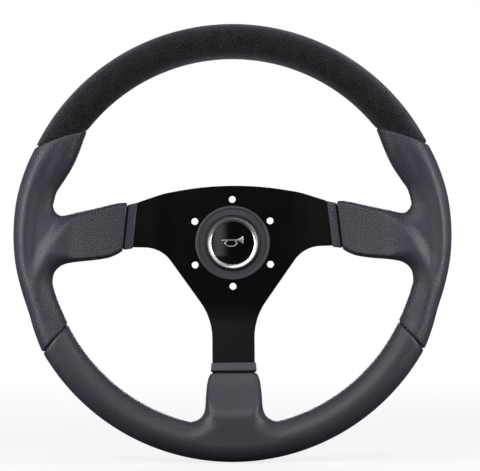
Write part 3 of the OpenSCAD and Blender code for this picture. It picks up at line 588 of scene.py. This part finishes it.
def grid_piece(name, grids, material, thick, body="wheel"):
    """A piece from grids of (points, places in the pattern in millimetres, the way its faces
    look along Y: 1, -1, or 0 for any). Points shared by two grids are merged. A thickness
    gives the skin its inner wall. Without one the grids are closed bodies: open ends of up to
    8 sides are filled, and all faces are turned outwards."""
    verts, faces, uvs = [], [], []
    count = 0
    for points, uv, look in grids:
        rows, columns = points.shape[:2]
        index = np.arange(rows * columns).reshape(rows, columns)
        quads = np.stack([index[:-1, :-1], index[1:, :-1], index[1:, 1:], index[:-1, 1:]], -1)
        quads = quads.reshape(-1, 4)
        flat = points.reshape(-1, 3)
        a, b, c, d = (flat[quads[:, k]] for k in range(4))
        facing = np.cross(c - a, d - b)[:, 1].sum()
        if facing * look < 0:
            quads = quads[:, ::-1]
        verts.append(flat)
        faces.append(quads + count)
        uvs.append(uv.reshape(-1, 2))
        count += rows * columns
    verts, faces, uvs = np.concatenate(verts), np.concatenate(faces), np.concatenate(uvs)
    mesh = bpy.data.meshes.new(name)
    mesh.from_pydata(verts.tolist(), [], faces.tolist())
    layer = mesh.uv_layers.new(name="skin")
    layer.data.foreach_set("uv", (uvs[faces.ravel()] / 1000).ravel())
    shape = bmesh.new()
    shape.from_mesh(mesh)
    bmesh.ops.remove_doubles(shape, verts=shape.verts, dist=merge_within)
    if not thick:
        bmesh.ops.holes_fill(shape, edges=shape.edges, sides=8)
        bmesh.ops.recalc_face_normals(shape, faces=shape.faces)
    shape.to_mesh(mesh)
    shape.free()
    mesh.shade_smooth()
    mesh.materials.append(material)
    piece = bpy.data.objects.new(name, mesh)
    bpy.context.collection.objects.link(piece)
    if thick:
        wall = piece.modifiers.new("wall", "SOLIDIFY")
        wall.thickness = thick / 1000
        wall.offset = -1
    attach(piece, body)
    return piece


def leather(name, low, high, patch):
    """Cowhide, semi matt, with a grain about 0.5 mm across, drawn 1.1 mm across to show, and
    broad patches. Returns the material, its tree, place on the skin, colour and relief."""
    made, tree = new_material(name, Specular_IOR_Level=0.65)
    skin = add_node(tree, "ShaderNodeUVMap", uv_map="skin")
    grain = add_node(tree, "ShaderNodeTexVoronoi", {"Scale": 1 / 0.0011}, {"Vector": skin},
                     voronoi_dimensions="2D", feature="SMOOTH_F1")
    broad = add_node(tree, "ShaderNodeTexNoise", {"Scale": 1 / patch, "Detail": 3.0},
                     {"Vector": skin})
    roughen(tree, 0.42, 0.54, broad)
    return made, tree, skin, tint(tree, low, high, broad), emboss(tree, 0.8, 0.0002, grain)


# Perforated leather, punched with 0.7 mm holes 1.9 mm apart in staggered rows. To show, the
# holes are drawn 1 mm across, coloured near black: the dark foam under them plus painted shade.
perforated, tree, skin, hide, bump = leather("perforated_leather", "#373743", "#414150", 0.022)
turned = add_node(tree, "ShaderNodeMapping", {"Rotation": (0, 0, math.radians(45))}, {0: skin})
holes = add_node(tree, "ShaderNodeTexVoronoi", {"Scale": 1 / 0.0019, "Randomness": 0.0},
                 {"Vector": turned}, voronoi_dimensions="2D")
hole = add_node(tree, "ShaderNodeMapRange",
                {"From Min": 0.23, "From Max": 0.3, "To Min": 1.0, "To Max": 0.0},
                {"Value": holes.outputs["Distance"]}, interpolation_type="SMOOTHSTEP")
# Painted shade: the holes are coloured darker than the foam under them, standing in for shade
# inside them.
dark = add_node(tree, "ShaderNodeMix", {7: linear("#050506")}, {0: hole, 6: hide},
                data_type="RGBA")
feed(tree, "Base Color", dark.outputs[2])
pit = add_node(tree, "ShaderNodeBump", {"Strength": 1.0, "Distance": 0.0004},
               {"Height": hole, "Normal": bump}, invert=True)
feed(tree, "Normal", pit.outputs[0])

# Smooth leather: the same hide without holes, a little darker.
smooth = leather("smooth_leather", "#31313b", "#3b3b47", 0.02)[0]

for name, form, turn, flip, material, slot, flat, area in [
        ("leather_right", SIDE, 0, 1, perforated, "perforated_leather", (0.168, 0.212), 0.0215),
        ("leather_left", SIDE, 0, -1, perforated, "perforated_leather", (0.168, 0.212), 0.0215),
        ("leather_bottom", LOW, -90, 1, smooth, "smooth_leather", (0.350, 0.176), 0.0368)]:
    grids = [(stand(points, turn, flip), uv, -up) for points, uv, up in cover_grids(form)]
    cover = grid_piece(name + "_skin", grids, material, cover_t)
    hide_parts(name)

# Suede: a napped hide panel glued round the top of the rim, from seam to seam, closed along
# the inside of the rim. The nap stands in tufts about 0.4 mm across, drawn 1.2 mm across to
# show, over broader brushed patches, and its sheen lights up towards the edges.
suede, tree = new_material("napped_suede", Roughness=0.95, Specular_IOR_Level=0.15,
                           Sheen_Weight=1.0, Sheen_Roughness=0.36, Sheen_Tint="#b4b4be")
skin = add_node(tree, "ShaderNodeUVMap", uv_map="skin").outputs[0]
tufts = add_node(tree, "ShaderNodeTexNoise", {"Scale": 1 / 0.0012, "Detail": 4.0, "Roughness": 0.7},
                 {"Vector": skin})
patches = add_node(tree, "ShaderNodeTexNoise", {"Scale": 1 / 0.009, "Detail": 3.0},
                   {"Vector": skin})
brushed = add_node(tree, "ShaderNodeMapRange", {"To Min": 0.85, "To Max": 1.15}, {"Value": patches})
blend = add_node(tree, "ShaderNodeMath", links={0: tufts, 1: brushed}, operation="MULTIPLY")
spots = add_node(tree, "ShaderNodeMapRange", {"From Min": 0.42, "From Max": 0.62}, {"Value": blend})
tint(tree, "#060607", "#37373b", spots)
emboss(tree, 0.9, 0.001, tufts)

seam_turn = np.radians(218)
panel_sink, suede_sink, suede_round_in = 0.1, 1.1, 0.3
skin_round = 92  # the way round the rim's section


def suede_grid(f, turn):
    """An oval tube: at f of the way from the right to the left seam and the angle turn round the
    section, r = hoop_r + (rim_w / 2 - sunk) cos turn and z = dish + (rim_t / 2 - sunk) sin turn;
    the way round the wheel runs between the angles that the seams have at r. The skin lies
    panel_sink deep, sinks by up to suede_sink more near a seam, and has a groove along its own
    seam inside the rim, at seam_turn. It is worked out twice, because the sink changes r."""
    line = seam_line(top_seam + groove_a, top_bow)
    bare = seam_line(top_seam, top_bow)
    sunk = panel_sink
    for _ in range(2):
        r = hoop_r + (rim_w / 2 - sunk) * np.cos(turn)[None, :] * np.ones((len(f), 1))
        start = np.interp(r, np.linalg.norm(line, axis=-1), angle_of(line))
        a = lerp(start, 180 - start, f[:, None])
        p = polar(r, a)
        folded = np.stack([np.abs(p[..., 0]), p[..., 1]], -1)
        near = distance_to(bare, folded) - suede_round_in
        own = np.abs(np.angle(np.exp(1j * (turn - seam_turn))))[None, :] * rim_t / 2
        sunk = (panel_sink + suede_sink * (1 - round_up(near, seam_round))
                + own_groove_deep * bell(own, own_groove_w))
    z = dish + (rim_t / 2 - sunk) * np.sin(turn)[None, :]
    across = turn[None, :] / (2 * np.pi) * skin_round * np.ones_like(a)
    return np.concatenate([p, z[..., None]], -1), np.stack([np.radians(a) * hoop_r, across], -1)


near_seam = np.array([-0.12, -0.06, -0.03, 0, 0.03, 0.06, 0.12])
turns = np.union1d(np.linspace(0, 2 * np.pi, 73), seam_turn + near_seam)
# Rows lie closest over the first and last 4 % of the way, where the skin sinks to the seams.
ends = places(30) * 0.04
way = np.union1d(np.linspace(0, 1, 200), np.concatenate([ends, 1 - ends]))
grids = []
for part in (turns[turns <= np.pi], turns[turns >= np.pi]):
    points, uv = suede_grid(way, part)
    grids.append((stand(points), uv, -1 if part[0] == 0 else 1))
panel = grid_piece("suede_panel", grids, suede, cover_t)
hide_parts("suede_top")

# Cuffs: 7 mm bands of the same leathers, turned under at both edges, glued round each spoke
# where it leaves the plate. Each follows the bent plate's section from a little above it.
cuff_w, corner_r, cuff_steps = 7, 1.4, 14
lean_from, lean_over = 37, 45
bend_end = bend_start + bend_r * math.sin(bend_a)
bend_rise = bend_r * (1 - math.cos(bend_a))


def cuff_grid(start, lean, low, high, flare):
    """A band round the plate: one way round the plate's rounded rectangular section, the other
    way across the band and back under it. The lift over the plate is a flat-topped hump
    0.06 + 0.78 (1 - |2w - 1|^6)^0.5, plus a bead of 0.12 near w = 0.1 and a flare towards the
    rim. x moves on by lean (lean_from - y) / lean_over, and so by 0.12 and 0.9 of lean at
    the spoke's high and low edge."""
    w = places(cuff_steps)
    lift = (0.06 + 0.78 * np.sqrt(1 - np.abs(2 * w - 1) ** 6) + flare * w
            + 0.12 * bell(w - 0.1, 0.06))
    w = np.concatenate([w, [0.95, 0.05], w[:1]])
    lift = np.concatenate([lift, [0.03, 0.03], lift[:1]])
    corner = np.linspace(0, math.pi / 2, 6)
    run = np.linspace(0, 1, 34)[1:-1]
    share = np.concatenate([run, np.ones(12), run[::-1], np.zeros(12)])
    cos = np.concatenate([run * 0, np.sin(corner), np.cos(corner),
                          run * 0, -np.sin(corner), -np.cos(corner)])
    sin = np.concatenate([run * 0 + 1, np.cos(corner), -np.sin(corner),
                          run * 0 - 1, -np.cos(corner), np.sin(corner)])
    share, cos, sin = (np.append(v, v[0])[:, None] for v in (share, cos, sin))
    r = np.minimum(corner_r, 0.5 + lift)
    half = plate_t / 2 + lift
    x_high = start + lean * 0.12 + cuff_w * w
    x_low = start + lean * 0.9 + cuff_w * w
    y_high = np.interp(x_high, *zip(*high)) + lift - r
    y_low = np.interp(x_low, *zip(*low)) - lift + r
    y = lerp(y_low, y_high, share) + r * cos
    x = start + cuff_w * w + lean * (lean_from - y) / lean_over
    h = np.sign(sin) * (half - r) + r * sin
    s = (x - bend_end) / math.cos(bend_a)
    points = np.stack([bend_end + s * math.cos(bend_a) - h * math.sin(bend_a), y,
                       plate_t / 2 + bend_rise + s * math.sin(bend_a) + h * math.cos(bend_a)], -1)
    middle = points[:, cuff_steps // 2]
    round_place = np.append(0, np.cumsum(np.linalg.norm(np.diff(middle, axis=0), axis=-1)))
    return points, np.stack(np.broadcast_arrays(cuff_w * w[None, :], round_place[:, None]), -1)


# The plate's edges as (x, y) where the cuffs sit, and each band's start, lean, edges and flare.
side_high = [(54.5, 40.3), (74.5, 33.7), (78, 31.7), (88, 29.4)]
side_low = [(57.5, -3.4), (79, -2.9), (90, -4)]
side_band = (75.95, 5.2, side_low, side_high, 0.25)
low_band = (96.2, 0.0, [(90, -17), (110, -17)], [(90, 17), (110, 17)], 0.7)
for name, turn, flip, band, material, slot in [
        ("cuff_right", 0, 1, side_band, perforated, "perforated_leather"),
        ("cuff_left", 0, -1, side_band, perforated, "perforated_leather"),
        ("cuff_bottom", -90, 1, low_band, smooth, "smooth_leather")]:
    points, uv = cuff_grid(*band)
    cuff = grid_piece(name + "_band", [(stand(points, turn, flip), uv, 0)], material, 0)
    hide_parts(name)

# Seam thread: bonded polyester, 0.8 mm thick, sewn in crosses over each cover's own seam,
# which lies inside the rim and on towards the back. Its plies twist every 1.6 mm.
stitch_pitch, stitch_half_w, stitch_half_l, stitch_rise = 5.0, 1.7, 1.1, 0.75
strand_lift, strand_steps = 0.12, 7
thread_r, thread_end_r = 0.4, 0.02
thread, tree = new_material("bonded_polyester_thread", Base_Color="#1b1b1e", Roughness=0.55)
skin = add_node(tree, "ShaderNodeUVMap", uv_map="skin").outputs[0]
twist = add_node(tree, "ShaderNodeTexWave", {"Scale": 1 / 0.0016, "Distortion": 0.0},
                 {"Vector": skin}, bands_direction="DIAGONAL")
emboss(tree, 0.6, 0.0001, twist)


def seam_course(form, side):
    """A cover's own seam on its back: its free edge moved seam_in inwards and laid on the skin.
    Returns points and the skin's outward directions there."""
    edge = rails(form, 0)[side]
    step = np.gradient(edge[2:-3], axis=0)
    step /= np.linalg.norm(step, axis=-1, keepdims=True)
    inwards = np.stack([step[:, 1], -step[:, 0]], -1) * (1 if side == 0 else -1)
    p = edge[2:-3] + seam_in * inwards
    z = height(form, p, False, -1)
    near = 0.2
    tilt = [(height(form, p + d, False, -1) - height(form, p - d, False, -1)) / (2 * near)
            for d in (np.array([near, 0]), np.array([0, near]))]
    out = np.stack([tilt[0], tilt[1], -np.ones(len(p))], -1)
    return np.concatenate([p, z[:, None]], -1), out / np.linalg.norm(out, axis=-1, keepdims=True)


def crosses(course, out):
    """Two strands in each cross, at even steps along a course. A strand goes from one side of the
    seam to the other, for t from -1 to 1, rising by stitch_rise (1 - t^2), and is a tube of
    radius thread_r (1 - t^8)^0.5 + thread_end_r. The second strand lies under the first."""
    length = np.append(0, np.cumsum(np.linalg.norm(np.diff(course, axis=0), axis=-1)))
    spots = np.arange(stitch_pitch, length[-1] - stitch_pitch / 2, stitch_pitch)
    at, up = (np.stack([np.interp(spots, length, v[:, k]) for k in range(3)], -1)
              for v in (course, out))
    ahead = np.stack([np.interp(spots + 0.5, length, course[:, k]) for k in range(3)], -1) - at
    ahead /= np.linalg.norm(ahead, axis=-1, keepdims=True)
    over = np.cross(up, ahead)
    t = np.linspace(-1, 1, strand_steps)[None, :, None]
    middle = np.concatenate([
        at[:, None] + over[:, None] * stitch_half_w * t + ahead[:, None] * stitch_half_l * slant * t
        + up[:, None] * (stitch_rise * (1 - t ** 2) + lift)
        for slant, lift in ((1, strand_lift), (-1, 0.0))])
    up = np.concatenate([up, up])[:, None, None]
    run = np.gradient(middle, axis=1)
    run /= np.linalg.norm(run, axis=-1, keepdims=True)
    side = np.cross(run, up[:, :, 0])
    around = np.linspace(0, 2 * np.pi, 7)[None, None, :, None]
    thick = thread_r * np.sqrt(np.clip(1 - t[..., None] ** 8, 0, 1)) + thread_end_r
    tube = middle[:, :, None] + thick * (np.cos(around) * side[:, :, None] + np.sin(around) * up)
    long, wide = np.linspace(0, 4, strand_steps)[:, None], np.linspace(0, 2.5, 7)[None, :]
    uv = np.stack(np.broadcast_arrays(long, wide), -1)
    return [(strand, uv) for strand in tube]


# The suede's own seam runs from 40 to 140 degrees, on the panel's skin.
arc = np.radians(np.linspace(40, 140, 200))
around_r = hoop_r + (rim_w / 2 - panel_sink) * math.cos(seam_turn)
arc_z = dish + (rim_t / 2 - panel_sink) * math.sin(seam_turn)
arc_points = np.stack([around_r * np.cos(arc), around_r * np.sin(arc), 0 * arc + arc_z], -1)
arc_out = np.stack([math.cos(seam_turn) * np.cos(arc), math.cos(seam_turn) * np.sin(arc),
                    0 * arc + math.sin(seam_turn)], -1)
strands = [(stand(points), uv, 0) for points, uv in crosses(arc_points, arc_out)]
for form, turn, flip in [(SIDE, 0, 1), (SIDE, 0, -1), (LOW, -90, 1)]:
    for side in (0, 1):
        tubes = crosses(*seam_course(form, side))
        strands += [(stand(points, turn, flip), uv, 0) for points, uv in tubes]
grid_piece("seam_thread", strands, thread, 0)

# Horn push, outer parts: a matt moulded bezel clipped into the plate, and a satin cap in it.
# Spark-eroded moulds leave a fine texture, about 0.25 mm, drawn 0.5 to 0.6 mm to show. The
# base behind them is glass-filled nylon, whose fibres leave faint streaks.
bezel_plastic, tree = new_material("moulded_matt_abs", Roughness=0.5)
spark = mottle(tree, 0.0005)
emboss(tree, 0.35, 0.00006, spark)
tint(tree, "#3a3a3f", "#44444a", spark)
dress("horn_bezel", bezel_plastic)

cap_plastic, tree = new_material("moulded_satin_abs", Base_Color="#161618", Roughness=0.4)
emboss(tree, 0.2, 0.00004, mottle(tree, 0.0006))
dress("horn_cap", cap_plastic)

base_plastic, tree = new_material("glass_filled_nylon", Base_Color="#202022")
roughen(tree, 0.45, 0.65, mottle(tree, 0.0015, Detail=3.0, Distortion=1.5))
dress("horn_base", base_plastic)

# Bright ring: chromium-plated moulding, polished; faint ripples 6 mm long and a slight haze
# break its reflections.
chrome, tree = new_material("chromium_plate", Base_Color="#e8e9ec", Metallic=1.0,
                            Roughness=0.27)
emboss(tree, 0.03, 0.0001, mottle(tree, 0.006))
dress("chrome_ring", chrome)

# Disc: clear-coated black acrylic, slightly domed, glued into the cap inside the bright ring.
# It mirrors the room almost sharply.
acrylic, tree = new_material("black_acrylic", Base_Color="#060607", Coat_Weight=0.4,
                             Coat_Roughness=0.03)
roughen(tree, 0.05, 0.09, mottle(tree, 0.01))

floor_of_cap, disc_rise, dome_rise, disc_r = 8.4, 0.7, 0.7, 16.9
dome_r = (disc_r ** 2 + dome_rise ** 2) / (2 * dome_rise)


def on_dome(x, y, lift):
    """Points on the disc's front: z = top - R + (R^2 - x^2 - y^2)^0.5 + lift."""
    z = floor_of_cap + disc_rise + dome_rise - dome_r + np.sqrt(dome_r ** 2 - x * x - y * y) + lift
    return np.stack([x, y, z], -1)


# The disc is drawn smooth, because flat facets would show in its gloss: full turns of a section
# that goes out over the dome, down the edge with its corners broken, and back underneath.
corner_break = 0.05
over = np.concatenate([np.linspace(0, disc_r - 0.2, 24), disc_r - np.array([0.1, 0.03, 0])])
r = np.append(over, [disc_r, disc_r, disc_r - corner_break, 0])[:, None]
turn = np.linspace(0, 2 * np.pi, 97)[None, :]
dome = on_dome(r * np.cos(turn), r * np.sin(turn), 0)
edge_z = dome[len(over) - 1, 0, 2]
below = [edge_z - corner_break, floor_of_cap + corner_break, floor_of_cap, floor_of_cap]
dome[len(over):, :, 2] = np.array(below)[:, None]
disc = grid_piece("domed_disc", [(stand(dome), dome[..., :2], 0)], acrylic, 0, "horn_button")
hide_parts("emblem_disc")

# Horn sign: the usual bugle outline, foil stamped on the disc in silver. A tube with a flared
# bell and a flat oval coil under it, 0.04 mm thick, on the disc's dome.
sign_half, tube_half, bell_more, mouth_more, tube_up = 8.5, 0.45, 3.3, 0.5, 2.2
coil_x, coil_y, coil_long, coil_high, coil_half = -1.3, -0.35, 4.6, 2.55, 0.42
foil_t, foil_lift = 0.04, 0.02
foil, tree = new_material("stamped_silver_foil", Base_Color="#b9babd", Metallic=1.0)
roughen(tree, 0.3, 0.42, mottle(tree, 0.002))
x = np.linspace(-sign_half, sign_half, 40)
flare = (tube_half + bell_more * np.clip((x - 1.5) / 7, 0, 1) ** 2.4
         + mouth_more * bell(x + sign_half, 0.5))
across = np.linspace(-1, 1, 5)[None, :]
tube = on_dome(np.repeat(x[:, None], 5, 1), tube_up + across * flare[:, None], foil_lift)
turn = np.linspace(0, 2 * np.pi, 49)[:, None]
wide = np.linspace(-coil_half, coil_half, 3)[None, :]
coil = on_dome(coil_x + (coil_long + wide) * np.cos(turn),
               coil_y + (coil_high + wide) * np.sin(turn), foil_lift)
sign = grid_piece("horn_sign", [(stand(g), g[..., :2], -1) for g in (tube, coil)], foil, foil_t,
                  "horn_button")

# Horn push, inner parts: drawn spring wire with fine die marks, and brass contacts stamped from
# rolled strip. The clip is the same wire.
wire, tree = new_material("drawn_spring_wire", Base_Color="#a4a6aa", Metallic=1.0)
roughen(tree, 0.25, 0.4, mottle(tree, 0.001))
dress("base_clip", wire)


def coil_grid(low, high, wire_r, turns=5, sides=12):
    """A wound wire between two corners of a box: round the middle of the wire, which is at
    radius R = high x - wire_r and climbs evenly from high y to low y over its turns, the skin
    is R + wire_r cos b outwards and wire_r sin b along Y. The first and last rows are points.
    Along the wire the pattern goes on by 8 mm for each radian."""
    a = np.linspace(0, 2 * np.pi * turns, 24 * turns + 1)
    a = np.concatenate([a[:1], a, a[-1:]])[:, None]
    b = np.linspace(0, 2 * np.pi, sides + 1)[None, :]
    w = np.full(a.shape, wire_r)
    w[[0, -1]] = 0
    r = high[0] - wire_r + w * np.cos(b)
    y = lerp(high[1] - wire_r, low[1] + wire_r, a / a[-1]) + w * np.sin(b)
    uv = np.stack(np.broadcast_arrays(a * 8, b * wire_r * 1000), -1)
    return np.stack([r * np.cos(a), y, r * np.sin(a)], -1), uv


wire_r, travel = 0.0006, 0.0018
low, high = (np.array(corner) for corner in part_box("return_spring"))
points, uv = coil_grid(low, high, wire_r)
spring = grid_piece("wound_spring", [(points, uv, 0)], wire, 0)
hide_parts("return_spring")
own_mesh(spring)

brass, tree = new_material("stamped_brass", Metallic=1.0, Roughness=0.3)
tint(tree, "#c9a455", "#b8913f", mottle(tree, 0.004, Detail=3.0))
for name in ("moving_contact", "contact_pin", "fixed_contact", "spring_seat"):
    dress(name, brass)
